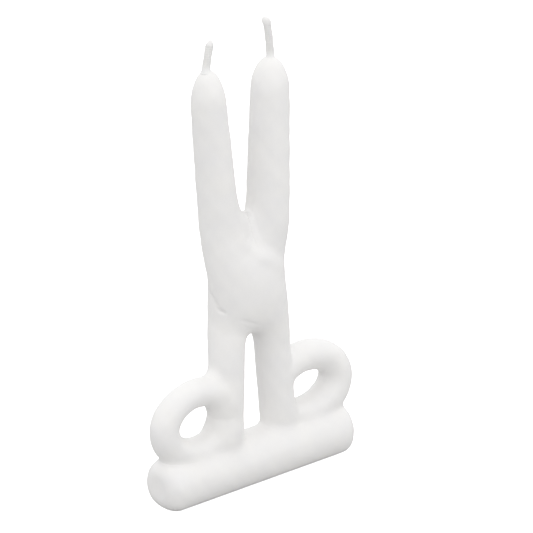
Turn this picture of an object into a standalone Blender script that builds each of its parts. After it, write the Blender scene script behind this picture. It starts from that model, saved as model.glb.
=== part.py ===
"""Scissor-shaped unity candle: two tapers that cross and twist, ring loops and a log foot.

The candle stands on the flat underside of its foot, with +Z up and +X along the foot. The origin is
the centre of the underside. The front strand passes on the -Y side of the crossing. It runs from the
taper on the -X side down to the leg on the +X side, and the rear strand does the opposite.
Each wax member is its own closed solid. Members that were welded while warm keep a thin joint gap.
"""

import bmesh
import bpy
import numpy as np
from mathutils import Vector

# Joints between members
GAP = 0.0003

# Foot: a round-ended log with a flat underside
FOOT_CENTRE_X = -0.0012
FOOT_HALF_LENGTH = 0.0594
FOOT_HALF_DEPTH = 0.0142
FOOT_HEIGHT = 0.0274
FOOT_AXIS_HEIGHT = 0.0127
FOOT_END_ROUNDING = 0.0076
FOOT_SECTION_POINTS = 24
FOOT_END_RINGS = 6

# Crossing: the two strands make half a turn about each other
CROSS_CENTRE_X = -0.0010
CROSS_HEIGHT = 0.1057
CROSS_HALF_HEIGHT = 0.0300
CROSS_HALF_OFFSET = 0.0078
REST_HALF_OFFSET = -0.0007
CROSS_RADIUS = 0.0097
CROSS_RADIUS_SPREAD = 0.0220

# Strands: distance of each centre line from the middle plane, just above and below the crossing,
# and how far it leans out over each metre of height
FRONT_TAPER_OFFSET = 0.01295
FRONT_TAPER_LEAN = 0.0587
FRONT_LEG_OFFSET = 0.0138
FRONT_LEG_LEAN = 0.057
REAR_TAPER_OFFSET = 0.01246
REAR_TAPER_LEAN = 0.0616
REAR_LEG_OFFSET = 0.01237
REAR_LEG_LEAN = 0.064

# Strands: radii and heights
FRONT_TOP = 0.2256
REAR_TOP = 0.2234
FRONT_RADIUS_HIGH = 0.0083
FRONT_RADIUS_LOW = 0.0104
FRONT_LEG_RADIUS = 0.0093
REAR_RADIUS_HIGH = 0.0094
REAR_RADIUS_LOW = 0.0112
REAR_LEG_RADIUS = 0.0093
LEG_START_HEIGHT = 0.0130
DOME_LENGTH = 0.0180
TIP_LENGTH = 0.0260
FRONT_TIP_LEAN = 0.0011
REAR_TIP_LEAN = -0.0008
STRAND_SIDES = 24
STRAND_RINGS = 40
DOME_RINGS = 7

# Ring loops: an open ring of round bar whose ends run into the leg
RIGHT_LOOP_CENTRE = (0.0346, 0.0007, 0.0423)
RIGHT_LOOP_HALF_WIDTH = 0.0209
RIGHT_LOOP_HALF_HEIGHT = 0.0154
RIGHT_LOOP_BAR_RADIUS = 0.0089
LEFT_LOOP_CENTRE = (-0.0359, -0.0005, 0.0422)
LEFT_LOOP_HALF_WIDTH = 0.0202
LEFT_LOOP_HALF_HEIGHT = 0.0158
LEFT_LOOP_BAR_RADIUS = 0.0080
LOOP_SWEEP = 140.0
LOOP_SIDES = 18
LOOP_RINGS = 30

# Wicks: cotton core, dipped wax coat and the bead of wax at the tip
WICK_RADIUS = 0.0010
WICK_BORE_RADIUS = 0.0013
WICK_BOTTOM = 0.0360
COAT_RADIUS = 0.0019
FRONT_WICK_HEIGHT = 0.0123
FRONT_WICK_LEAN = 0.0024
FRONT_WICK_BEND = 1.1
REAR_WICK_HEIGHT = 0.0158
REAR_WICK_LEAN = -0.0015
REAR_WICK_BEND = 1.7
FRONT_BEAD_LENGTH = 0.0032
FRONT_BEAD_RADIUS = 0.0019
REAR_BEAD_LENGTH = 0.0052
REAR_BEAD_RADIUS = 0.0024
WICK_SIDES = 12

# Colours
WAX_COLOUR = (0.90, 0.895, 0.88, 1.0)
COAT_COLOUR = (0.66, 0.64, 0.60, 1.0)
COTTON_COLOUR = (0.78, 0.76, 0.70, 1.0)


def clear_scene():
    """Remove every object that the start-up file holds."""
    for item in list(bpy.data.objects):
        bpy.data.objects.remove(item, do_unlink=True)


def make_material(name, colour, roughness):
    """Return a non-metallic Principled material."""
    material = bpy.data.materials.new(name)
    material.use_nodes = True
    shader = material.node_tree.nodes["Principled BSDF"]
    shader.inputs["Base Color"].default_value = colour
    shader.inputs["Roughness"].default_value = roughness
    shader.inputs["Metallic"].default_value = 0.0
    return material


def smoothstep(value):
    """Ease from 0 to 1."""
    value = np.clip(value, 0.0, 1.0)
    return value * value * (3.0 - 2.0 * value)


def strand_line(heights, side):
    """Centre points of a strand: side -1 is the front strand and +1 the rear one."""
    front = side < 0
    taper_offset = FRONT_TAPER_OFFSET if front else REAR_TAPER_OFFSET
    taper_lean = FRONT_TAPER_LEAN if front else REAR_TAPER_LEAN
    leg_offset = FRONT_LEG_OFFSET if front else REAR_LEG_OFFSET
    leg_lean = FRONT_LEG_LEAN if front else REAR_LEG_LEAN
    above = np.maximum(heights - CROSS_HEIGHT, 0.0)
    below = np.maximum(CROSS_HEIGHT - heights, 0.0)
    turn = smoothstep((CROSS_HEIGHT + CROSS_HALF_HEIGHT - heights) / (2.0 * CROSS_HALF_HEIGHT))
    reach = (taper_offset + taper_lean * above) * (1.0 - turn) + (leg_offset + leg_lean * below) * turn
    tip = np.clip((heights - (FRONT_TOP if front else REAR_TOP) + TIP_LENGTH) / TIP_LENGTH, 0.0, 1.0)
    tip_lean = FRONT_TIP_LEAN if front else REAR_TIP_LEAN
    x = CROSS_CENTRE_X + side * reach * np.cos(np.pi * turn) + tip_lean * tip ** 2
    y = side * (REST_HALF_OFFSET + (CROSS_HALF_OFFSET - REST_HALF_OFFSET) * np.sin(np.pi * turn))
    return np.stack([x, y, heights], axis=1)


def strand_radius(heights, side):
    """Radius along a strand: a taper above the crossing, a straight leg below, and a domed top."""
    front = side < 0
    high = FRONT_RADIUS_HIGH if front else REAR_RADIUS_HIGH
    low = FRONT_RADIUS_LOW if front else REAR_RADIUS_LOW
    leg = FRONT_LEG_RADIUS if front else REAR_LEG_RADIUS
    top = FRONT_TOP if front else REAR_TOP
    climb = np.clip((heights - CROSS_HEIGHT) / (top - CROSS_HEIGHT), 0.0, 1.0)
    plain = np.where(heights > CROSS_HEIGHT, low + (high - low) * climb ** 2, leg)
    near = np.exp(-((heights - CROSS_HEIGHT) / CROSS_RADIUS_SPREAD) ** 2)
    base = np.where(heights > CROSS_HEIGHT, low, leg)
    radius = plain + (CROSS_RADIUS - base) * near
    depth = np.clip((top - heights) / DOME_LENGTH, 0.0, 1.0)
    return radius * np.sqrt(1.0 - (1.0 - depth) ** 2)


def ring_frames(centres):
    """Two unit vectors square to the path at each centre, turned as little as possible."""
    tangents = np.gradient(centres, axis=0)
    tangents /= np.linalg.norm(tangents, axis=1)[:, None]
    first = np.cross([0.0, 1.0, 0.0], tangents)
    first /= np.linalg.norm(first, axis=1)[:, None]
    second = np.cross(tangents, first)
    return first, second


def loft(name, rings, material):
    """Join rings of points into one closed solid, with a flat cap on the first and the last ring."""
    mesh = bpy.data.meshes.new(name)
    shape = bmesh.new()
    loops = [[shape.verts.new(Vector(point)) for point in ring] for ring in rings]
    count = len(loops[0])
    for lower, upper in zip(loops[:-1], loops[1:]):
        for i in range(count):
            j = (i + 1) % count
            shape.faces.new((lower[i], lower[j], upper[j], upper[i]))
    shape.faces.new(list(reversed(loops[0])))
    shape.faces.new(loops[-1])
    bmesh.ops.recalc_face_normals(shape, faces=shape.faces[:])
    bmesh.ops.triangulate(shape, faces=shape.faces[:])
    shape.to_mesh(mesh)
    shape.free()
    mesh.shade_smooth()
    mesh.set_sharp_from_angle(angle=0.7)
    mesh.materials.append(material)
    piece = bpy.data.objects.new(name, mesh)
    bpy.context.collection.objects.link(piece)
    return piece


def tube_rings(centres, radii, sides):
    """Round rings of the given radii along a path."""
    first, second = ring_frames(centres)
    angles = np.arange(sides) * 2.0 * np.pi / sides
    spokes = np.cos(angles)[None, :, None] * first[:, None] + np.sin(angles)[None, :, None] * second[:, None]
    return centres[:, None] + radii[:, None, None] * spokes


def level_rings(centres, radii, sides):
    """Round rings that stay level, whichever way the path leans."""
    angles = np.arange(sides) * 2.0 * np.pi / sides
    spokes = np.stack([np.cos(angles), np.sin(angles), np.zeros(sides)], axis=1)
    return centres[:, None] + radii[:, None, None] * spokes[None]


def strand_heights(top):
    """Heights of a strand's rings, closer together over the dome."""
    body = np.linspace(LEG_START_HEIGHT, top - DOME_LENGTH, STRAND_RINGS)
    sweep = np.linspace(0.0, 1.0, DOME_RINGS + 1)[1:]
    radius = 0.5 * (FRONT_RADIUS_HIGH + REAR_RADIUS_HIGH)
    last = 1.0 - np.sqrt(1.0 - (1.2 * WICK_BORE_RADIUS / radius) ** 2)
    dome = top - DOME_LENGTH + DOME_LENGTH * (1.0 - last) * np.sin(0.5 * np.pi * sweep)
    return np.concatenate([body, dome])


def make_strand(name, side, material):
    """Leg and taper in one bar, with a blind bore for the wick down its centre line."""
    top = FRONT_TOP if side < 0 else REAR_TOP
    heights = strand_heights(top)
    outer = tube_rings(strand_line(heights, side), strand_radius(heights, side), STRAND_SIDES)
    inside = np.linspace(WICK_BOTTOM - GAP, heights[-1], 36)
    bore = tube_rings(strand_line(inside, side), np.full(len(inside), WICK_BORE_RADIUS), STRAND_SIDES)
    return loft(name, np.concatenate([outer, bore[::-1]]), material)


def make_plain_strand(name, side, extra):
    """The outside of a strand without its bore, grown by extra, as a cutter."""
    top = FRONT_TOP if side < 0 else REAR_TOP
    heights = strand_heights(top)
    heights[0] -= extra
    radii = strand_radius(heights, side) + extra
    return loft(name, tube_rings(strand_line(heights, side), radii, STRAND_SIDES), None)


def foot_section(scale):
    """Rounded section of the foot, flat below, drawn in toward its axis by scale."""
    lower = FOOT_AXIS_HEIGHT
    upper = FOOT_HEIGHT - FOOT_AXIS_HEIGHT
    flat_angle = -np.arcsin(lower / upper) if lower < upper else -0.5 * np.pi
    angles = np.linspace(flat_angle, np.pi - flat_angle, FOOT_SECTION_POINTS)
    y = FOOT_HALF_DEPTH * np.cos(angles)
    z = upper * np.sin(angles)
    return y * scale, FOOT_AXIS_HEIGHT + z * scale


def make_foot(name, extra, material):
    """Log-shaped foot, lofted along X, with its ends rounded over."""
    sweep = np.linspace(0.0, 0.5 * np.pi, FOOT_END_RINGS + 1)
    straight = FOOT_HALF_LENGTH - FOOT_END_ROUNDING
    reach = straight + (FOOT_END_ROUNDING + extra) * np.sin(sweep)
    inset = FOOT_END_ROUNDING * (1.0 - np.cos(sweep)) - extra
    stations = np.concatenate([-reach[::-1], np.linspace(-straight, straight, 7)[1:-1], reach])
    insets = np.concatenate([inset[::-1], np.full(5, -extra), inset])
    rings = []
    for station, drawn_in in zip(stations, insets):
        y, z = foot_section(1.0 - drawn_in / FOOT_HALF_DEPTH)
        rings.append(np.stack([np.full(len(y), FOOT_CENTRE_X + station), y, z], axis=1))
    return loft(name, rings, material)


def make_loop(name, side, material):
    """Open ring of round bar in the XZ plane, on the +X or the -X leg."""
    right = side > 0
    centre = RIGHT_LOOP_CENTRE if right else LEFT_LOOP_CENTRE
    half_width = RIGHT_LOOP_HALF_WIDTH if right else LEFT_LOOP_HALF_WIDTH
    half_height = RIGHT_LOOP_HALF_HEIGHT if right else LEFT_LOOP_HALF_HEIGHT
    bar = RIGHT_LOOP_BAR_RADIUS if right else LEFT_LOOP_BAR_RADIUS
    angles = np.radians(np.linspace(-LOOP_SWEEP, LOOP_SWEEP, LOOP_RINGS))
    x = centre[0] + side * half_width * np.cos(angles)
    z = centre[2] + half_height * np.sin(angles)
    centres = np.stack([x, np.full(LOOP_RINGS, centre[1]), z], axis=1)
    return loft(name, tube_rings_in_plane(centres, np.full(LOOP_RINGS, bar), LOOP_SIDES), material)


def tube_rings_in_plane(centres, radii, sides):
    """Round rings along a path that lies in the XZ plane."""
    tangents = np.gradient(centres, axis=0)
    tangents /= np.linalg.norm(tangents, axis=1)[:, None]
    across = np.cross(tangents, [0.0, 1.0, 0.0])
    angles = np.arange(sides) * 2.0 * np.pi / sides
    spokes = np.cos(angles)[None, :, None] * across[:, None]
    spokes = spokes + np.sin(angles)[None, :, None] * np.array([0.0, 1.0, 0.0])
    return centres[:, None] + radii[:, None, None] * spokes


def wick_line(heights, side):
    """Centre points of a wick: the strand's own line, then a stub that leans over above the top."""
    top = FRONT_TOP if side < 0 else REAR_TOP
    tall = FRONT_WICK_HEIGHT if side < 0 else REAR_WICK_HEIGHT
    lean = FRONT_WICK_LEAN if side < 0 else REAR_WICK_LEAN
    bend = FRONT_WICK_BEND if side < 0 else REAR_WICK_BEND
    points = strand_line(np.minimum(heights, top), side)
    rise = np.clip((heights - top) / tall, 0.0, 1.5)
    points[:, 0] += lean * rise ** bend
    points[:, 2] = heights
    return points


def make_wick(name, side, material):
    """Cotton core from its blind end near the foot up to inside the bead."""
    top = FRONT_TOP if side < 0 else REAR_TOP
    tall = FRONT_WICK_HEIGHT if side < 0 else REAR_WICK_HEIGHT
    heights = np.concatenate([np.linspace(WICK_BOTTOM, top, 36), np.linspace(top, top + tall + 0.0012, 8)[1:]])
    rings = tube_rings(wick_line(heights, side), np.full(len(heights), WICK_RADIUS), WICK_SIDES)
    return loft(name, rings, material)


def make_coat(name, side, material):
    """Sleeve of wax on the wick's stub, from just above the taper to just below the bead."""
    top = FRONT_TOP if side < 0 else REAR_TOP
    tall = FRONT_WICK_HEIGHT if side < 0 else REAR_WICK_HEIGHT
    heights = np.linspace(top + GAP, top + tall - GAP, 8)
    outer = level_rings(wick_line(heights, side), np.full(8, COAT_RADIUS), WICK_SIDES)
    inner = level_rings(wick_line(heights, side), np.full(8, WICK_BORE_RADIUS), WICK_SIDES)
    return ring_loft(name, np.concatenate([outer, inner[::-1]]), material)


def ring_loft(name, rings, material):
    """Join rings into a closed sleeve, from the last ring back to the first."""
    mesh = bpy.data.meshes.new(name)
    shape = bmesh.new()
    loops = [[shape.verts.new(Vector(point)) for point in ring] for ring in rings]
    count = len(loops[0])
    for k, lower in enumerate(loops):
        upper = loops[(k + 1) % len(loops)]
        for i in range(count):
            j = (i + 1) % count
            shape.faces.new((lower[i], lower[j], upper[j], upper[i]))
    bmesh.ops.recalc_face_normals(shape, faces=shape.faces[:])
    bmesh.ops.triangulate(shape, faces=shape.faces[:])
    shape.to_mesh(mesh)
    shape.free()
    mesh.shade_smooth()
    mesh.set_sharp_from_angle(angle=0.7)
    mesh.materials.append(material)
    piece = bpy.data.objects.new(name, mesh)
    bpy.context.collection.objects.link(piece)
    return piece


def make_bead(name, side, material):
    """Bead of wax over the wick's tip, with a blind hole that the tip sits in."""
    top = FRONT_TOP if side < 0 else REAR_TOP
    start = top + (FRONT_WICK_HEIGHT if side < 0 else REAR_WICK_HEIGHT)
    length = FRONT_BEAD_LENGTH if side < 0 else REAR_BEAD_LENGTH
    radius = FRONT_BEAD_RADIUS if side < 0 else REAR_BEAD_RADIUS
    inner_top = start + 0.0012 + GAP
    inside = np.linspace(inner_top, start, 3)
    around = np.linspace(0.0, 1.0, 9)
    bulge = np.sqrt(np.clip(1.0 - (2.0 * around - 1.0) ** 2, 0.0, 1.0))
    first_radius = np.maximum(radius * bulge, 1.25 * WICK_BORE_RADIUS * (around < 0.5))
    outer_radius = np.maximum(first_radius, 0.0003)
    outside = start + length * around
    heights = np.concatenate([inside, outside])
    radii = np.concatenate([np.full(3, WICK_BORE_RADIUS), outer_radius])
    return loft(name, level_rings(wick_line(heights, side), radii, WICK_SIDES), material)


def cut(piece, cutter):
    """Take the cutter's volume away from the piece, and mark the cutter as a guide."""
    modifier = piece.modifiers.new("Cut by " + cutter.name, "BOOLEAN")
    modifier.operation = "DIFFERENCE"
    modifier.solver = "EXACT"
    modifier.object = cutter
    cutter.hide_render = True
    cutter.display_type = "WIRE"


def build():
    """Make every member and trim each one to its neighbours."""
    wax = make_material("Wax", WAX_COLOUR, 0.42)
    coat = make_material("Waxed wick", COAT_COLOUR, 0.45)
    cotton = make_material("Cotton", COTTON_COLOUR, 0.85)
    make_foot("base_bar", 0.0, wax)
    front = make_strand("front_taper", -1, wax)
    rear = make_strand("rear_taper", 1, wax)
    right_loop = make_loop("right_loop", 1, wax)
    left_loop = make_loop("left_loop", -1, wax)
    foot_cutter = make_foot("foot_cutter", GAP, None)
    front_cutter = make_plain_strand("front_cutter", -1, GAP)
    rear_cutter = make_plain_strand("rear_cutter", 1, GAP)
    cut(front, foot_cutter)
    cut(rear, front_cutter)
    cut(rear, foot_cutter)
    cut(right_loop, front_cutter)
    cut(right_loop, foot_cutter)
    cut(left_loop, rear_cutter)
    cut(left_loop, foot_cutter)
    for label, side in (("front", -1), ("rear", 1)):
        make_wick(label + "_wick", side, cotton)
        make_coat(label + "_wick_coat", side, coat)
        make_bead(label + "_wick_bead", side, wax)


clear_scene()
build()
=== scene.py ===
"""Scissor-shaped unity candle: crossed wax tapers, ring loops and a log foot, with waxed wicks.

The looks of the candle, laid out as an add-on. Lengths are metres, +Z is up and the foot runs along X.
Every wax member is a skin found on one shared field, so that the members melt into each other with
soft webs while each stays a piece of its own.
"""

import math

import bpy
import numpy as np
from mathutils import Matrix, Vector


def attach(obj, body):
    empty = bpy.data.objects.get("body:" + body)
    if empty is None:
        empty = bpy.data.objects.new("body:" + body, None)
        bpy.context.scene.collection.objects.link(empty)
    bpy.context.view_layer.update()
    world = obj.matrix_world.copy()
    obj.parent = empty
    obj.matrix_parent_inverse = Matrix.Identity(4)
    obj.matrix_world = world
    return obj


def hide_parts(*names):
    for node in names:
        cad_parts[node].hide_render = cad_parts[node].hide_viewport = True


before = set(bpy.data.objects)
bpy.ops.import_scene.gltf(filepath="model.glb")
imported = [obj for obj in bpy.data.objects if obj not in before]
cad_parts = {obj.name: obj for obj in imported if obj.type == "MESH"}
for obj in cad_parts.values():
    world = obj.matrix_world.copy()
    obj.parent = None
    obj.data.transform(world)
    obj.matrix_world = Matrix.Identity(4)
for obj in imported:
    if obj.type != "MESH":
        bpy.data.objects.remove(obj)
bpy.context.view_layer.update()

bl_info = {
    "name": "Unity candle",
    "version": (1, 0, 0),
    "blender": (4, 5, 0),
    "location": "View3D > Sidebar > Candle",
    "description": "Builds a scissor-shaped unity candle of fused wax tapers",
    "category": "Object",
}

BODY = "root"
MM = 0.001
MEMBERS = ("front_taper", "rear_taper", "right_loop", "left_loop", "base_bar")

# Strands: the same tops and places as the solids underneath, pressed into each other where they cross
FRONT = {
    "side": -1.0,
    "taper_offset": 0.01295,
    "taper_lean": 0.0587,
    "leg_offset": 0.01380,
    "leg_lean": 0.0570,
    "top": 0.2251,
    "tip_lean": 0.0011,
    "high": 0.0083,
    "low": 0.0104,
    "waist": 0.0108,
    "leg": 0.0093,
}
REAR = {
    "side": 1.0,
    "taper_offset": 0.01246,
    "taper_lean": 0.0616,
    "leg_offset": 0.01237,
    "leg_lean": 0.0640,
    "top": 0.2234,
    "tip_lean": -0.0008,
    "high": 0.0094,
    "low": 0.0112,
    "waist": 0.0099,
    "leg": 0.0093,
}
CROSS_X = -0.0010
CROSS_Z = 0.1057
CROSS_HALF = 0.0392
CROSS_OFFSET = 0.0028
REST_OFFSET = -0.0007
WAIST_SPREAD = 0.0152
WAIST_WIDENING = 0.90
WAIST_THICKENING = 0.06
ROOT_EASE = 0.030
WEB_CENTRE = (-0.0010, -0.0004, 0.1166)
WEB_LEAN = -0.10
WEB_HALF = (0.0074, 0.0058, 0.0276)
DOME = 0.0180
DOME_LEVEL = 0.0120
DOME_LEVEL_EASE = 0.0100
TIP_LENGTH = 0.0260
LEG_START = 0.0180

# Creases where one roll of soft wax lies on the next, and the raised lip of the upper roll:
# points in millimetres, each with the depth there, which is below nought on the lip
SIDE_CREASE = (
    (-22.8, 4.0, 110.5, 0.30),
    (-23.2, -1.5, 105.0, 1.00),
    (-22.2, -4.0, 100.4, 1.00),
    (-8.0, -12.0, 91.5, 0.00),
)
CROTCH_CREASE = (
    (-13.0, -10.6, 94.0, 0.00),
    (-5.0, -11.4, 89.8, 0.40),
    (0.0, -11.0, 86.5, 0.15),
)
RAISED_LIP = (
    (-6.5, -6.5, 143.0, -0.30),
    (-8.5, -8.5, 134.0, -0.50),
    (1.2, -11.2, 124.0, -0.90),
    (14.0, -10.5, 115.5, -0.50),
)
CREASES = ((SIDE_CREASE, 0.0011), (CROTCH_CREASE, 0.0009), (RAISED_LIP, 0.0034))

RIGHT_LOOP = {
    "side": 1.0,
    "centre": (0.0346, 0.0007, 0.0423),
    "half": (0.0208, 0.0154),
    "bar": 0.0081,
    "swell": 0.0010,
    "swell_angle": -0.6,
    "weld": 0.0025,
}
LEFT_LOOP = {
    "side": -1.0,
    "centre": (-0.0359, -0.0005, 0.0422),
    "half": (0.0202, 0.0158),
    "bar": 0.0078,
    "swell": -0.0005,
    "swell_angle": 1.1,
    "weld": 0.0065,
}
LOOP_SWEEP = math.radians(142.0)

FOOT_X = -0.0012
FOOT_HALF_LENGTH = 0.0603
FOOT_HALF_DEPTH = 0.0142
FOOT_AXIS_Z = 0.0127
FOOT_HALF_HEIGHT = 0.0147
FOOT_EDGE = 0.0058
FOOT_SETTLE = 0.0006
FOOT_END = 0.0080

# Past a seam a member's skin sinks by this much per metre, times the square of how far past it is
SEAM_SINKING = 100.0
HALVINGS = 12
LEAST_REACH = 0.0003

WICKS = {
    "front": {
        "strand": FRONT,
        "tall": 0.0118,
        "slip": -0.0009,
        "lean": 0.0027,
        "bend": 1.1,
        "radius": 0.00215,
        "bead": {"length": 0.0034, "radius": 0.00185, "point": 0.45, "tilt": 0.0},
    },
    "rear": {
        "strand": REAR,
        "tall": 0.0160,
        "slip": 0.0006,
        "lean": -0.0012,
        "bend": 1.7,
        "radius": 0.00208,
        "bead": {"length": 0.0054, "radius": 0.00235, "point": 0.10, "tilt": -0.10},
    },
}
COAT_ROOT = 0.0027
COAT_LAP = 0.0006
COAT_SHARE = 0.97
FLARE_WIDTH = 0.00075
FLARE_START = 0.0013
FLARE_FADE = 0.0012
BRAID_DEPTH = 0.00009
BRAID_TURN = 2600.0
COAT_LUMPS = 0.00006
BEAD_LAP = 0.0004
BEAD_LUMPS = 0.05

FLOOR_HALF = 4.0
WORLD_STRENGTH = 1.13
LIGHT_SIZE = 0.9
LIGHT_AIM = (0.0, 0.0, 0.10)
LIGHTS = {
    "overhead": {"place": (0.10, -0.20, 1.30), "power": 0.1},
    "side": {"place": (0.15, -1.26, 0.50), "power": 1.0},
}

CAMERA_AZIMUTH = math.radians(-38.3)
CAMERA_ELEVATION = math.radians(21.7)
CAMERA_ROLL = math.radians(-1.87)
CAMERA_AWAY = 2.3435
CAMERA_TARGET = (-0.0011, 0.0, 0.108)
CAMERA_RIGHT = 0.01034
CAMERA_UP = 0.0079
VIEW_WIDTH = 0.2665


class CandleSettings(bpy.types.PropertyGroup):
    """Sizes and colours that a user may change before the pieces are made."""

    wax_colour: bpy.props.FloatVectorProperty(
        name="Wax colour",
        description="Colour of the white wax",
        subtype="COLOR",
        size=3,
        min=0.0,
        max=1.0,
        default=(0.872, 0.862, 0.845),
    )
    wick_colour: bpy.props.FloatVectorProperty(
        name="Waxed wick colour",
        description="Colour of the cotton where it shows through its wax",
        subtype="COLOR",
        size=3,
        min=0.0,
        max=1.0,
        default=(0.785, 0.762, 0.728),
    )
    wax_roughness: bpy.props.FloatProperty(
        name="Wax roughness",
        description="Micro roughness of the wax surface",
        min=0.0,
        max=1.0,
        default=0.33,
    )
    foot_weld: bpy.props.FloatProperty(
        name="Foot weld",
        description="Reach of the fillet between the foot and what stands on it",
        unit="LENGTH",
        min=0.0005,
        max=0.02,
        default=0.0036,
    )
    strand_weld: bpy.props.FloatProperty(
        name="Crossing weld",
        description="Reach of the fillet where the two strands press together",
        unit="LENGTH",
        min=0.0005,
        max=0.04,
        default=0.0071,
    )
    web_weld: bpy.props.FloatProperty(
        name="Web weld",
        description="Reach of the fillet between the strands and the web of wax between them",
        unit="LENGTH",
        min=0.0005,
        max=0.04,
        default=0.0110,
    )
    hand_unevenness: bpy.props.FloatProperty(
        name="Unevenness",
        description="Depth of the slow waves that handling soft wax leaves",
        unit="LENGTH",
        min=0.0,
        max=0.001,
        default=0.00010,
    )


def smoothstep(value):
    """Cubic ease from 0 to 1: three times the square less twice the cube."""
    value = np.clip(value, 0.0, 1.0)
    return value * value * (3.0 - 2.0 * value)


def full_turn(count):
    """Even bearings round a full turn, without the last, which is the first again."""
    return np.linspace(0.0, 2.0 * np.pi, count, endpoint=False)


def level_spokes(bearings):
    """Level unit directions at the bearings: cosine along X and sine along Y."""
    return np.stack([np.cos(bearings), np.sin(bearings), np.zeros_like(bearings)], axis=-1)


def soft_min(first, second, reach):
    """Smaller of two fields, less a quarter of the reach by the square of how near they are to equal."""
    near = np.maximum(reach - np.abs(first - second), 0.0) / reach
    return np.minimum(first, second) - 0.25 * reach * near * near


def oval_distance(offsets, halves):
    """Near enough the distance to an oval: k(k - 1) over k's slope, with k the length in half-axes.

    The same small amount under both roots keeps it at less than nought on the oval's own centre.
    """
    small = 1e-6
    least = np.minimum.reduce(halves)
    first = sum((offset / half) ** 2 for offset, half in zip(offsets, halves))
    second = sum((offset / half**2) ** 2 for offset, half in zip(offsets, halves))
    first = np.sqrt(first + small)
    return first * (first - 1.0) / np.sqrt(second + small / least**2)


def strand_centre(height, strand):
    """Centre line by height: a lean on each side, and an eased half turn through the crossing."""
    above = np.maximum(height - CROSS_Z, 0.0)
    below = np.maximum(CROSS_Z - height, 0.0)
    turn = smoothstep((CROSS_Z + CROSS_HALF - height) / (2.0 * CROSS_HALF))
    taper = strand["taper_offset"] + strand["taper_lean"] * above
    leg = strand["leg_offset"] + strand["leg_lean"] * below
    reach = taper * (1.0 - turn) + leg * turn
    swing = REST_OFFSET + (CROSS_OFFSET - REST_OFFSET) * np.sin(np.pi * turn)
    tip = np.clip((height - strand["top"] + TIP_LENGTH) / TIP_LENGTH, 0.0, 1.0)
    x = CROSS_X + strand["side"] * reach * np.cos(np.pi * turn) + strand["tip_lean"] * tip**2
    return np.stack([x, strand["side"] * swing, height], axis=-1)


def strand_tangent(height, strand):
    """Unit direction of the centre line, from its points a little above and below."""
    step = 0.0004
    along = strand_centre(height + step, strand) - strand_centre(height - step, strand)
    return along / np.linalg.norm(along, axis=-1, keepdims=True)


def waist(height):
    """Bell curve by height, 1 at the crossing."""
    return np.exp(-(((height - CROSS_Z) / WAIST_SPREAD) ** 2))


def strand_radius(height, strand):
    """Radius by height: square-law taper above, straight leg below, bell-shaped waist, elliptic dome."""
    climb = np.clip((height - CROSS_Z) / (strand["top"] - CROSS_Z), 0.0, 1.0)
    above = smoothstep((height - CROSS_Z) / ROOT_EASE + 0.5)
    base = strand["leg"] + above * (strand["low"] - strand["leg"])
    radius = base + above * (strand["high"] - strand["low"]) * climb**2
    radius = radius + (strand["waist"] - base) * waist(height)
    depth = np.clip((strand["top"] - height) / DOME, 0.0, 1.0)
    return radius * np.sqrt(np.maximum(1.0 - (1.0 - depth) ** 2, 0.0))


def strand_field(points, strand):
    """Distance to a strand's skin: an ellipse square to the centre line, round but for the crossing."""
    height = points[..., 2]
    free = 1.0 - smoothstep((height - (strand["top"] - DOME - DOME_LEVEL)) / DOME_LEVEL_EASE)
    near = np.maximum(height, LEG_START)
    for _ in range(3):
        centre = strand_centre(near, strand)
        tangent = strand_tangent(near, strand)
        slip = np.sum((points - centre) * tangent, axis=-1) * tangent[..., 2]
        near = np.maximum(near + free * slip, LEG_START)
    centre = strand_centre(near, strand)
    tangent = strand_tangent(near, strand)
    across = points - centre
    along = np.sum(across * tangent, axis=-1)
    along = np.where(near > LEG_START, along, np.maximum(along, 0.0))
    across = across - along[..., None] * tangent
    level = np.cross(tangent, [0.0, 1.0, 0.0])
    level = level / np.linalg.norm(level, axis=-1, keepdims=True)
    side = np.sum(across * level, axis=-1)
    depth = np.sqrt(np.maximum(np.sum(across * across, axis=-1) - side * side, 0.0))
    press = waist(near)
    radius = np.maximum(strand_radius(near, strand), 1e-5)
    wide = radius * (1.0 + WAIST_WIDENING * press)
    thick = radius * (1.0 + WAIST_THICKENING * press)
    return oval_distance((side, depth), (wide, thick))


def web_field(points):
    """Distance to the web: a leaning ellipsoid of wax that fills the V and the crotch."""
    offsets = [points[..., i] - WEB_CENTRE[i] for i in range(3)]
    offsets[0] = offsets[0] - WEB_LEAN * offsets[2]
    return oval_distance(offsets, WEB_HALF)


def loop_centre(angle, loop):
    """Centre line of a ring loop: an ellipse in the XZ plane, with angle 0 at its outermost point."""
    x = loop["centre"][0] + loop["side"] * loop["half"][0] * np.cos(angle)
    z = loop["centre"][2] + loop["half"][1] * np.sin(angle)
    return np.stack([x, np.full_like(x, loop["centre"][1]), z], axis=-1)


def loop_direction(angle, loop):
    """Rate of change of the loop's centre line with its angle."""
    x = -loop["side"] * loop["half"][0] * np.sin(angle)
    z = loop["half"][1] * np.cos(angle)
    return np.stack([x, np.zeros_like(x), z], axis=-1)


def loop_field(points, loop):
    """Distance to a loop's skin: to the nearest point of its open ellipse, less the bar's radius.

    The radius swells by a squared cosine about one angle, where hands have squeezed the bar.
    """
    across = loop["side"] * (points[..., 0] - loop["centre"][0]) / loop["half"][0]
    up = (points[..., 2] - loop["centre"][2]) / loop["half"][1]
    angle = np.arctan2(up, across)
    for _ in range(4):
        offset = points - loop_centre(angle, loop)
        direction = loop_direction(angle, loop)
        step = np.sum(offset * direction, axis=-1) / np.sum(direction * direction, axis=-1)
        angle = angle + 0.7 * np.clip(step, -0.5, 0.5)
    angle = np.clip(angle, -LOOP_SWEEP, LOOP_SWEEP)
    bar = loop["bar"] + loop["swell"] * np.maximum(np.cos(angle - loop["swell_angle"]), 0.0) ** 2
    return np.linalg.norm(points - loop_centre(angle, loop), axis=-1) - bar


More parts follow.
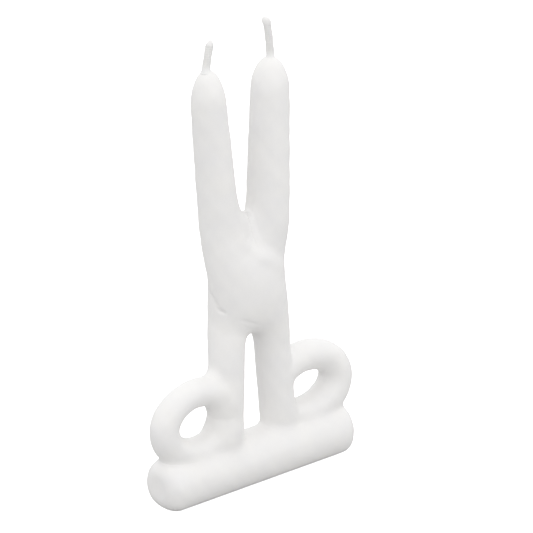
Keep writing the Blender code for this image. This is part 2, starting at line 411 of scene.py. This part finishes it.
def foot_field(points):
    """Distance to the foot: an ellipse cut by a flat, round at that edge, swept along X to round ends."""
    offsets = (points[..., 1], points[..., 2] - FOOT_AXIS_Z)
    oval = oval_distance(offsets, (FOOT_HALF_DEPTH, FOOT_HALF_HEIGHT))
    flat = -points[..., 2] - FOOT_SETTLE
    near = np.maximum(FOOT_EDGE - np.abs(oval - flat), 0.0) / FOOT_EDGE
    section = np.maximum(oval, flat) + 0.25 * FOOT_EDGE * near * near + FOOT_END
    ends = np.abs(points[..., 0] - FOOT_X) - FOOT_HALF_LENGTH + FOOT_END
    outside = np.sqrt(np.maximum(section, 0.0) ** 2 + np.maximum(ends, 0.0) ** 2)
    return outside + np.minimum(np.maximum(section, ends), 0.0) - FOOT_END


def creases(points):
    """Depth of the creases: a bell curve of the distance to each line, with an even change along it."""
    total = np.zeros(points.shape[:-1])
    for line, width in CREASES:
        marks = MM * np.array(line)
        depth = np.zeros(points.shape[:-1])
        for start, end in zip(marks[:-1], marks[1:]):
            along = end[:3] - start[:3]
            share = np.clip(np.sum((points - start[:3]) * along, axis=-1) / np.sum(along * along), 0.0, 1.0)
            gap = np.linalg.norm(points - start[:3] - share[..., None] * along, axis=-1)
            here = (start[3] + share * (end[3] - start[3])) * np.exp(-((gap / width) ** 2))
            depth = np.where(np.abs(here) > np.abs(depth), here, depth)
        total = total + depth
    return total


def unevenness(points, depth):
    """Slow waves left by handling: crossed sines about 8 to 50 mm long, kept off the flat underside."""
    x, y, z = points[..., 0], points[..., 1], points[..., 2]
    waves = np.sin(260.0 * x + 190.0 * z + 1.1) * np.sin(230.0 * y - 120.0 * z + 0.4)
    waves = waves + 0.6 * np.sin(520.0 * z + 310.0 * x - 2.0) * np.sin(410.0 * x - 350.0 * y + 1.7)
    waves = waves + 0.35 * np.sin(760.0 * y + 640.0 * z) * np.sin(690.0 * x - 210.0 * z + 2.3)
    return depth * waves * smoothstep((z - 0.004) / 0.006)


def all_fields(points):
    """Fields of the five members: front strand, rear strand, right loop, left loop and foot."""
    return [
        strand_field(points, FRONT),
        strand_field(points, REAR),
        loop_field(points, RIGHT_LOOP),
        loop_field(points, LEFT_LOOP),
        foot_field(points),
    ]


def wax_field(points, node, settings):
    """The melted whole, with one member's skin sunk past its seams by the square of how far past."""
    front, rear, right, left, foot = all_fields(points)
    right_half = soft_min(front, right, RIGHT_LOOP["weld"])
    left_half = soft_min(rear, left, LEFT_LOOP["weld"])
    crossed = soft_min(right_half, left_half, settings.strand_weld)
    webbed = soft_min(crossed, web_field(points), settings.web_weld)
    whole = soft_min(webbed, foot, settings.foot_weld)
    whole = whole - unevenness(points, settings.hand_unevenness) + creases(points)
    fields = dict(zip(MEMBERS, (front, rear, right, left, foot)))
    own = fields.pop(node)
    past = np.maximum(own - np.minimum.reduce(list(fields.values())), 0.0)
    return whole + SEAM_SINKING * past * past


def cast_skin(origins, directions, node, settings, reach=0.030, steps=30):
    """Distance along each ray to the first place where the member's field turns positive.

    The ray is walked in even steps, and the step in which the sign changes is halved again and again.
    """
    shape = origins.shape[:-1]
    flat_origins = origins.reshape(-1, 3)
    flat_directions = directions.reshape(-1, 3)
    count = len(flat_origins)
    inside = np.full(count, 0.0)
    outside = np.full(count, reach)
    open_rays = np.ones(count, dtype=bool)
    for step in range(steps + 1):
        distance = reach * step / steps
        index = np.nonzero(open_rays)[0]
        if len(index) == 0:
            break
        value = wax_field(flat_origins[index] + distance * flat_directions[index], node, settings)
        hit = value > 0.0
        outside[index[hit]] = distance
        inside[index[~hit]] = distance
        open_rays[index[hit]] = False
    for _ in range(HALVINGS):
        middle = 0.5 * (inside + outside)
        value = wax_field(flat_origins + middle[:, None] * flat_directions, node, settings)
        inside = np.where(value > 0.0, inside, middle)
        outside = np.where(value > 0.0, middle, outside)
    return np.maximum(0.5 * (inside + outside), LEAST_REACH).reshape(shape)


def grid_mesh(name, points, start_pole, end_pole):
    """Mesh of a grid of points that closes round its second parameter, with a pole point at each end."""
    rows, columns = points.shape[:2]
    row, column = np.meshgrid(np.arange(rows - 1), np.arange(columns), indexing="ij")
    following = (column + 1) % columns
    quads = np.stack(
        [
            row * columns + column,
            row * columns + following,
            (row + 1) * columns + following,
            (row + 1) * columns + column,
        ],
        axis=-1,
    ).reshape(-1, 4)
    ring = np.arange(columns)
    after = (ring + 1) % columns
    first = rows * columns
    last = first + 1
    top = (rows - 1) * columns
    start_faces = np.stack([np.full(columns, first), after, ring], axis=1)
    end_faces = np.stack([np.full(columns, last), top + ring, top + after], axis=1)
    vertices = np.concatenate([points.reshape(-1, 3), [start_pole], [end_pole]])
    mesh = bpy.data.meshes.new(name)
    mesh.from_pydata(vertices.tolist(), [], quads.tolist() + start_faces.tolist() + end_faces.tolist())
    mesh.validate()
    mesh.update()
    face_up(mesh)
    mesh.shade_smooth()
    return mesh


def face_up(mesh):
    """Turn the faces outward if the sum of centre dot normal times area, three volumes, is negative."""
    count = len(mesh.polygons)
    centres = np.empty(count * 3)
    normals = np.empty(count * 3)
    areas = np.empty(count)
    mesh.polygons.foreach_get("center", centres)
    mesh.polygons.foreach_get("normal", normals)
    mesh.polygons.foreach_get("area", areas)
    volume = np.sum(np.sum(centres.reshape(-1, 3) * normals.reshape(-1, 3), axis=1) * areas)
    if volume < 0.0:
        mesh.flip_normals()


def add_piece(mesh, material, node):
    """Link a finished piece, let it ride on the body and stand for its solid."""
    mesh.materials.append(material)
    piece = bpy.data.objects.new(mesh.name, mesh)
    bpy.context.scene.collection.objects.link(piece)
    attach(piece, BODY)
    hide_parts(node)


def strand_stations(strand):
    """Heights of the rings: even along the bar, closer in the V and the crotch, by sine over the dome."""
    marks = np.array([0.014, 0.078, 0.100, 0.128, 0.152, strand["top"] - DOME])
    spacing = np.array([0.00060, 0.00030, 0.00055, 0.00030, 0.00060])
    runs = []
    for low, high, gap in zip(marks[:-1], marks[1:], spacing):
        runs.append(np.linspace(low, high, int((high - low) / gap) + 1)[:-1])
    sweep = np.linspace(0.0, 0.5 * np.pi, 40)[:-1]
    runs.append(strand["top"] - DOME + DOME * np.sin(sweep))
    return np.concatenate(runs)


def make_strand(node, strand, material, settings):
    """Skin of a strand: level rays from its centre line at every height, out to the wax field."""
    heights = strand_stations(strand)
    bearings = full_turn(144)
    spokes = level_spokes(bearings)
    centres = strand_centre(heights, strand)
    origins = np.repeat(centres[:, None], len(bearings), axis=1)
    directions = np.repeat(spokes[None], len(heights), axis=0)
    distance = cast_skin(origins, directions, node, settings)
    points = origins + distance[..., None] * directions
    tip = strand_centre(np.array([strand["top"]]), strand)[0]
    mesh = grid_mesh(node + "_skin", points, centres[0], tip)
    add_piece(mesh, material, node)


def make_loop(node, loop, material, settings):
    """Skin of a loop: rays square to its elliptic centre line at every station, out to the wax field."""
    angles = np.linspace(-LOOP_SWEEP, LOOP_SWEEP, 190)
    bearings = full_turn(84)
    centres = loop_centre(angles, loop)
    along = loop_direction(angles, loop)
    along = along / np.linalg.norm(along, axis=-1, keepdims=True)
    across = np.cross(along, [0.0, 1.0, 0.0])
    spokes = np.cos(bearings)[None, :, None] * across[:, None]
    spokes = spokes + np.sin(bearings)[None, :, None] * np.array([0.0, 1.0, 0.0])
    origins = np.repeat(centres[:, None], len(bearings), axis=1)
    distance = cast_skin(origins, spokes, node, settings, reach=0.020, steps=20)
    points = origins + distance[..., None] * spokes
    mesh = grid_mesh(node + "_skin", points, centres[0], centres[-1])
    add_piece(mesh, material, node)


def make_foot(node, material, settings):
    """Skin of the foot: rays square to its axis, fanning round each end of the axis to a pole."""
    reach = FOOT_HALF_LENGTH - 0.010
    fan = np.linspace(0.0, 0.5 * np.pi, 30)[1:-1]
    straight = np.linspace(-reach, reach, 170)
    stations = np.concatenate([np.full(len(fan), -reach), straight, np.full(len(fan), reach)])
    tilt = np.concatenate([-fan[::-1], np.zeros(len(straight)), fan])
    bearings = full_turn(128)
    origins = np.zeros((len(stations), len(bearings), 3))
    origins[..., 0] = (FOOT_X + stations)[:, None]
    origins[..., 2] = FOOT_AXIS_Z
    directions = np.stack(
        [
            np.repeat(np.sin(tilt)[:, None], len(bearings), axis=1),
            np.cos(tilt)[:, None] * np.cos(bearings)[None],
            np.cos(tilt)[:, None] * np.sin(bearings)[None],
        ],
        axis=-1,
    )
    distance = cast_skin(origins, directions, node, settings, reach=0.032)
    points = origins + distance[..., None] * directions
    ends = []
    for side in (-1.0, 1.0):
        start = np.array([[FOOT_X + side * reach, 0.0, FOOT_AXIS_Z]])
        way = np.array([[side, 0.0, 0.0]])
        ends.append((start + cast_skin(start, way, node, settings)[:, None] * way)[0])
    mesh = grid_mesh(node + "_skin", points, ends[0], ends[1])
    add_piece(mesh, material, node)


def wick_centre(height, wick):
    """Centre line of a wick's stub: up from the taper's tip, leaning over by a power of its height."""
    strand = wick["strand"]
    points = strand_centre(np.minimum(height, strand["top"]), strand)
    rise = np.clip((height - strand["top"]) / wick["tall"], 0.0, 1.6)
    points[..., 0] = points[..., 0] + wick["slip"] + wick["lean"] * rise ** wick["bend"]
    points[..., 2] = height
    return points


def make_coat(node, wick, material):
    """Waxed wick: a round tube with the braid's diamond relief, flared into the dome by an exponential."""
    top = wick["strand"]["top"]
    heights = np.linspace(top - COAT_ROOT, top + wick["tall"] + COAT_LAP, 110)
    bearings = full_turn(48)
    rise = (heights - top)[:, None]
    turn = BRAID_TURN * rise
    braid = np.sin(3.0 * bearings[None] + turn) * np.sin(3.0 * bearings[None] - turn)
    braid = BRAID_DEPTH * braid * smoothstep((rise - 0.001) / 0.003)
    flare = FLARE_WIDTH * np.exp(-np.maximum(rise + FLARE_START, 0.0) / FLARE_FADE)
    lumps = COAT_LUMPS * np.sin(900.0 * rise + 2.0 * bearings[None])
    radius = wick["radius"] * COAT_SHARE + flare + braid + lumps
    centres = wick_centre(heights, wick)
    points = centres[:, None] + radius[..., None] * level_spokes(bearings)[None]
    mesh = grid_mesh(node + "_skin", points, centres[0], centres[-1])
    climb = np.repeat(np.clip(rise / wick["tall"], 0.0, 1.0), len(bearings), axis=1).reshape(-1)
    paint_attribute(mesh, "climb", np.concatenate([climb, [0.0, 1.0]]))
    add_piece(mesh, material, node)


def paint_attribute(mesh, name, values):
    """Store one number on every vertex."""
    layer = mesh.attributes.new(name, "FLOAT", "POINT")
    layer.data.foreach_set("value", np.asarray(values, dtype=np.float32))


def make_bead(node, wick, material):
    """Bead of wax: a drop whose radius is a powered sine, narrowed toward its tip by the bead's point."""
    bead = wick["bead"]
    start = wick["strand"]["top"] + wick["tall"] - BEAD_LAP
    sweep = np.linspace(0.0, 1.0, 42)[1:-1]
    bearings = full_turn(40)
    rise = 0.5 * (1.0 - np.cos(np.pi * sweep))
    swell = bead["radius"] * np.sin(np.pi * sweep) ** 0.85 * (1.0 - bead["point"] * rise**1.5)
    lumps = 1.0 + BEAD_LUMPS * np.sin(2.0 * bearings[None] + 5.0 * rise[:, None])
    centres = wick_centre(start + bead["length"] * rise, wick)
    centres[:, 0] = centres[:, 0] + bead["tilt"] * rise * bead["length"]
    points = centres[:, None] + (swell[:, None] * lumps)[..., None] * level_spokes(bearings)[None]
    ends = wick_centre(np.array([start, start + bead["length"]]), wick)
    ends[1, 0] = ends[1, 0] + bead["tilt"] * bead["length"]
    mesh = grid_mesh(node + "_skin", points, ends[0], ends[1])
    add_piece(mesh, material, node)


def new_material(name):
    """New node material, with its tree and its Principled shader."""
    material = bpy.data.materials.new(name)
    material.use_nodes = True
    tree = material.node_tree
    return material, tree, tree.nodes["Principled BSDF"]


def add_noise(tree, vector, scale, detail):
    """Noise texture of a scale and detail on the given vector."""
    noise = tree.nodes.new("ShaderNodeTexNoise")
    noise.inputs["Scale"].default_value = scale
    noise.inputs["Detail"].default_value = detail
    tree.links.new(vector, noise.inputs["Vector"])
    return noise


def add_bump(tree, shader, height, strength, distance):
    """Bump on the shader's normal from a height."""
    bump = tree.nodes.new("ShaderNodeBump")
    bump.inputs["Strength"].default_value = strength
    bump.inputs["Distance"].default_value = distance
    tree.links.new(height, bump.inputs["Height"])
    tree.links.new(bump.outputs["Normal"], shader.inputs["Normal"])


def wax_material(settings):
    """White candle wax: faint cloudy mottling, an uneven soft sheen and a very fine grain."""
    material, tree, shader = new_material("Candle wax")
    place = tree.nodes.new("ShaderNodeTexCoord")
    cloud = add_noise(tree, place.outputs["Object"], 70.0, 4.0)
    cloud.inputs["Roughness"].default_value = 0.55
    tint = tree.nodes.new("ShaderNodeValToRGB")
    colour = settings.wax_colour
    tint.color_ramp.elements[0].position = 0.3
    tint.color_ramp.elements[0].color = (colour[0] * 0.965, colour[1] * 0.968, colour[2] * 0.985, 1.0)
    tint.color_ramp.elements[1].position = 0.7
    tint.color_ramp.elements[1].color = (colour[0], colour[1], colour[2], 1.0)
    tree.links.new(cloud.outputs["Fac"], tint.inputs["Fac"])
    tree.links.new(tint.outputs["Color"], shader.inputs["Base Color"])
    sheen = tree.nodes.new("ShaderNodeMapRange")
    sheen.inputs["To Min"].default_value = settings.wax_roughness - 0.05
    sheen.inputs["To Max"].default_value = settings.wax_roughness + 0.07
    tree.links.new(cloud.outputs["Fac"], sheen.inputs["Value"])
    tree.links.new(sheen.outputs["Result"], shader.inputs["Roughness"])
    grain = add_noise(tree, place.outputs["Object"], 900.0, 3.0)
    add_bump(tree, shader, grain.outputs["Fac"], 0.10, 0.0003)
    shader.inputs["Metallic"].default_value = 0.0
    shader.inputs["IOR"].default_value = 1.44
    shader.inputs["Specular IOR Level"].default_value = 0.5
    return material


def coat_material(settings):
    """Wick seen through thin wax: greyish, whiter toward the root, with fibres along the braid."""
    material, tree, shader = new_material("Waxed wick")
    place = tree.nodes.new("ShaderNodeTexCoord")
    climb = tree.nodes.new("ShaderNodeAttribute")
    climb.attribute_name = "climb"
    blend = tree.nodes.new("ShaderNodeValToRGB")
    ramp = blend.color_ramp
    wax = settings.wax_colour
    wick = settings.wick_colour
    ramp.elements[0].position = 0.0
    ramp.elements[0].color = (wax[0], wax[1], wax[2], 1.0)
    ramp.elements[1].position = 0.22
    ramp.elements[1].color = (wick[0], wick[1], wick[2], 1.0)
    tree.links.new(climb.outputs["Fac"], blend.inputs["Fac"])
    stretch = tree.nodes.new("ShaderNodeMapping")
    stretch.inputs["Scale"].default_value = (1.0, 1.0, 0.16)
    tree.links.new(place.outputs["Object"], stretch.inputs["Vector"])
    fibre = add_noise(tree, stretch.outputs["Vector"], 1100.0, 3.0)
    mix = tree.nodes.new("ShaderNodeMix")
    mix.data_type = "RGBA"
    mix.blend_type = "OVERLAY"
    mix.inputs[0].default_value = 0.35
    tree.links.new(blend.outputs["Color"], mix.inputs[6])
    tree.links.new(fibre.outputs["Color"], mix.inputs[7])
    grey = tree.nodes.new("ShaderNodeHueSaturation")
    grey.inputs["Saturation"].default_value = 0.35
    tree.links.new(mix.outputs[2], grey.inputs["Color"])
    tree.links.new(grey.outputs["Color"], shader.inputs["Base Color"])
    add_bump(tree, shader, fibre.outputs["Fac"], 0.25, 0.0002)
    shader.inputs["Roughness"].default_value = 0.34
    shader.inputs["IOR"].default_value = 1.44
    return material


def cotton_material():
    """Braided cotton of the wick's hidden core: cream, fibrous and matt."""
    material, tree, shader = new_material("Cotton wick")
    place = tree.nodes.new("ShaderNodeTexCoord")
    fibre = add_noise(tree, place.outputs["Object"], 1600.0, 4.0)
    tint = tree.nodes.new("ShaderNodeValToRGB")
    tint.color_ramp.elements[0].color = (0.60, 0.57, 0.50, 1.0)
    tint.color_ramp.elements[1].color = (0.84, 0.82, 0.76, 1.0)
    tree.links.new(fibre.outputs["Fac"], tint.inputs["Fac"])
    tree.links.new(tint.outputs["Color"], shader.inputs["Base Color"])
    add_bump(tree, shader, fibre.outputs["Fac"], 0.5, 0.0002)
    shader.inputs["Roughness"].default_value = 0.85
    return material


def floor_material():
    """Plain backdrop paper, lifted to white where it is seen and greyer in what it throws back."""
    material, tree, shader = new_material("Pale floor")
    path = tree.nodes.new("ShaderNodeLightPath")
    tone = tree.nodes.new("ShaderNodeMix")
    tone.data_type = "RGBA"
    tone.inputs[6].default_value = (0.50, 0.50, 0.50, 1.0)
    tone.inputs[7].default_value = (0.93, 0.93, 0.93, 1.0)
    tree.links.new(path.outputs["Is Camera Ray"], tone.inputs[0])
    tree.links.new(tone.outputs[2], shader.inputs["Base Color"])
    lift = tree.nodes.new("ShaderNodeMath")
    lift.operation = "MULTIPLY"
    lift.inputs[1].default_value = 1.00
    tree.links.new(path.outputs["Is Camera Ray"], lift.inputs[0])
    shader.inputs["Emission Color"].default_value = (1.0, 1.0, 1.0, 1.0)
    tree.links.new(lift.outputs["Value"], shader.inputs["Emission Strength"])
    shader.inputs["Roughness"].default_value = 0.9
    shader.inputs["Specular IOR Level"].default_value = 0.1
    return material


def shared_material(name, make):
    """The named material, made at its first use."""
    return bpy.data.materials.get(name) or make()


def get_wax(settings):
    """Wax material, made once."""
    return shared_material("Candle wax", lambda: wax_material(settings))


class CANDLE_OT_foot(bpy.types.Operator):
    """Make the log foot"""

    bl_idname = "candle.make_foot"
    bl_label = "Log foot"

    def execute(self, context):
        settings = context.scene.candle_settings
        make_foot("base_bar", get_wax(settings), settings)
        return {"FINISHED"}


class CANDLE_OT_strands(bpy.types.Operator):
    """Make the two crossed strands, each a leg and a taper"""

    bl_idname = "candle.make_strands"
    bl_label = "Crossed strands"

    def execute(self, context):
        settings = context.scene.candle_settings
        make_strand("front_taper", FRONT, get_wax(settings), settings)
        make_strand("rear_taper", REAR, get_wax(settings), settings)
        return {"FINISHED"}


class CANDLE_OT_loops(bpy.types.Operator):
    """Make the two ring loops"""

    bl_idname = "candle.make_loops"
    bl_label = "Ring loops"

    def execute(self, context):
        settings = context.scene.candle_settings
        make_loop("right_loop", RIGHT_LOOP, get_wax(settings), settings)
        make_loop("left_loop", LEFT_LOOP, get_wax(settings), settings)
        return {"FINISHED"}


class CANDLE_OT_wicks(bpy.types.Operator):
    """Make the waxed wicks with their beads, and finish the cotton cores"""

    bl_idname = "candle.make_wicks"
    bl_label = "Wicks"

    def execute(self, context):
        settings = context.scene.candle_settings
        coat = shared_material("Waxed wick", lambda: coat_material(settings))
        wax = get_wax(settings)
        for name, wick in WICKS.items():
            make_coat(name + "_wick_coat", wick, coat)
        for name, wick in WICKS.items():
            make_bead(name + "_wick_bead", wick, wax)
        cotton = shared_material("Cotton wick", cotton_material)
        for name in WICKS:
            core = bpy.data.objects[name + "_wick"]
            core.data.materials.clear()
            core.data.materials.append(cotton)
        return {"FINISHED"}


class CANDLE_OT_stage(bpy.types.Operator):
    """Make the floor, the soft lights and the camera"""

    bl_idname = "candle.make_stage"
    bl_label = "Stage"

    def execute(self, context):
        make_floor()
        make_lights(context.scene)
        make_camera(context.scene)
        return {"FINISHED"}


def make_floor():
    """Large plain floor, level with the candle's underside."""
    half = FLOOR_HALF
    corners = [(-half, -half, 0.0), (half, -half, 0.0), (half, half, 0.0), (-half, half, 0.0)]
    mesh = bpy.data.meshes.new("floor")
    mesh.from_pydata(corners, [], [(0, 1, 2, 3)])
    mesh.materials.append(floor_material())
    floor = bpy.data.objects.new("floor", mesh)
    bpy.context.scene.collection.objects.link(floor)


def add_area(name, place, power):
    """Square soft box at a place, turned toward the candle."""
    light = bpy.data.lights.new(name, "AREA")
    light.energy = power
    light.size = LIGHT_SIZE
    lamp = bpy.data.objects.new(name, light)
    bpy.context.scene.collection.objects.link(lamp)
    lamp.location = place
    way = Vector(LIGHT_AIM) - Vector(place)
    lamp.rotation_euler = way.to_track_quat("-Z", "Y").to_euler()


def make_lights(scene):
    """Even white surroundings, a faint soft box overhead and a stronger one far in front."""
    world = bpy.data.worlds.new("Studio")
    scene.world = world
    world.use_nodes = True
    shade = world.node_tree.nodes["Background"]
    shade.inputs["Color"].default_value = (1.0, 1.0, 1.0, 1.0)
    shade.inputs["Strength"].default_value = WORLD_STRENGTH
    for name, light in LIGHTS.items():
        add_area(name, light["place"], light["power"])
    scene.view_settings.view_transform = "Standard"


def make_camera(scene):
    """Long lens from the left of the front and a little above, with a slight roll."""
    level_share = math.cos(CAMERA_ELEVATION)
    back = Vector(
        (
            math.sin(CAMERA_AZIMUTH) * level_share,
            -math.cos(CAMERA_AZIMUTH) * level_share,
            math.sin(CAMERA_ELEVATION),
        )
    )
    level = Vector((0.0, 0.0, 1.0)).cross(back).normalized()
    upright = back.cross(level)
    right = level * math.cos(CAMERA_ROLL) + upright * math.sin(CAMERA_ROLL)
    up = upright * math.cos(CAMERA_ROLL) - level * math.sin(CAMERA_ROLL)
    place = Vector(CAMERA_TARGET) + CAMERA_RIGHT * right + CAMERA_UP * up + CAMERA_AWAY * back
    camera = bpy.data.objects.new("camera", bpy.data.cameras.new("camera"))
    scene.collection.objects.link(camera)
    camera.matrix_world = Matrix.Translation(place) @ Matrix((right, up, back)).transposed().to_4x4()
    camera.data.sensor_width = 36.0
    camera.data.lens = camera.data.sensor_width * CAMERA_AWAY / VIEW_WIDTH
    camera.data.clip_end = 50.0
    scene.camera = camera


class CANDLE_PT_panel(bpy.types.Panel):
    """Sidebar panel that lists the pieces and their sizes"""

    bl_idname = "CANDLE_PT_panel"
    bl_label = "Unity candle"
    bl_space_type = "VIEW_3D"
    bl_region_type = "UI"
    bl_category = "Candle"

    def draw(self, context):
        layout = self.layout
        settings = context.scene.candle_settings
        for name in settings.bl_rna.properties.keys():
            if name not in ("rna_type", "name"):
                layout.prop(settings, name)
        for operator in OPERATORS:
            layout.operator(operator.bl_idname)


OPERATORS = (CANDLE_OT_foot, CANDLE_OT_strands, CANDLE_OT_loops, CANDLE_OT_wicks, CANDLE_OT_stage)
CLASSES = (CandleSettings,) + OPERATORS + (CANDLE_PT_panel,)


def register():
    """Register the classes and hang the settings on the scene."""
    for item in CLASSES:
        bpy.utils.register_class(item)
    bpy.types.Scene.candle_settings = bpy.props.PointerProperty(type=CandleSettings)


def unregister():
    """Undo register in reverse order."""
    del bpy.types.Scene.candle_settings
    for item in reversed(CLASSES):
        bpy.utils.unregister_class(item)


def main():
    """Build the whole candle and its stage."""
    register()
    bpy.ops.candle.make_foot()
    bpy.ops.candle.make_strands()
    bpy.ops.candle.make_loops()
    bpy.ops.candle.make_wicks()
    bpy.ops.candle.make_stage()


if __name__ == "__main__":
    main()
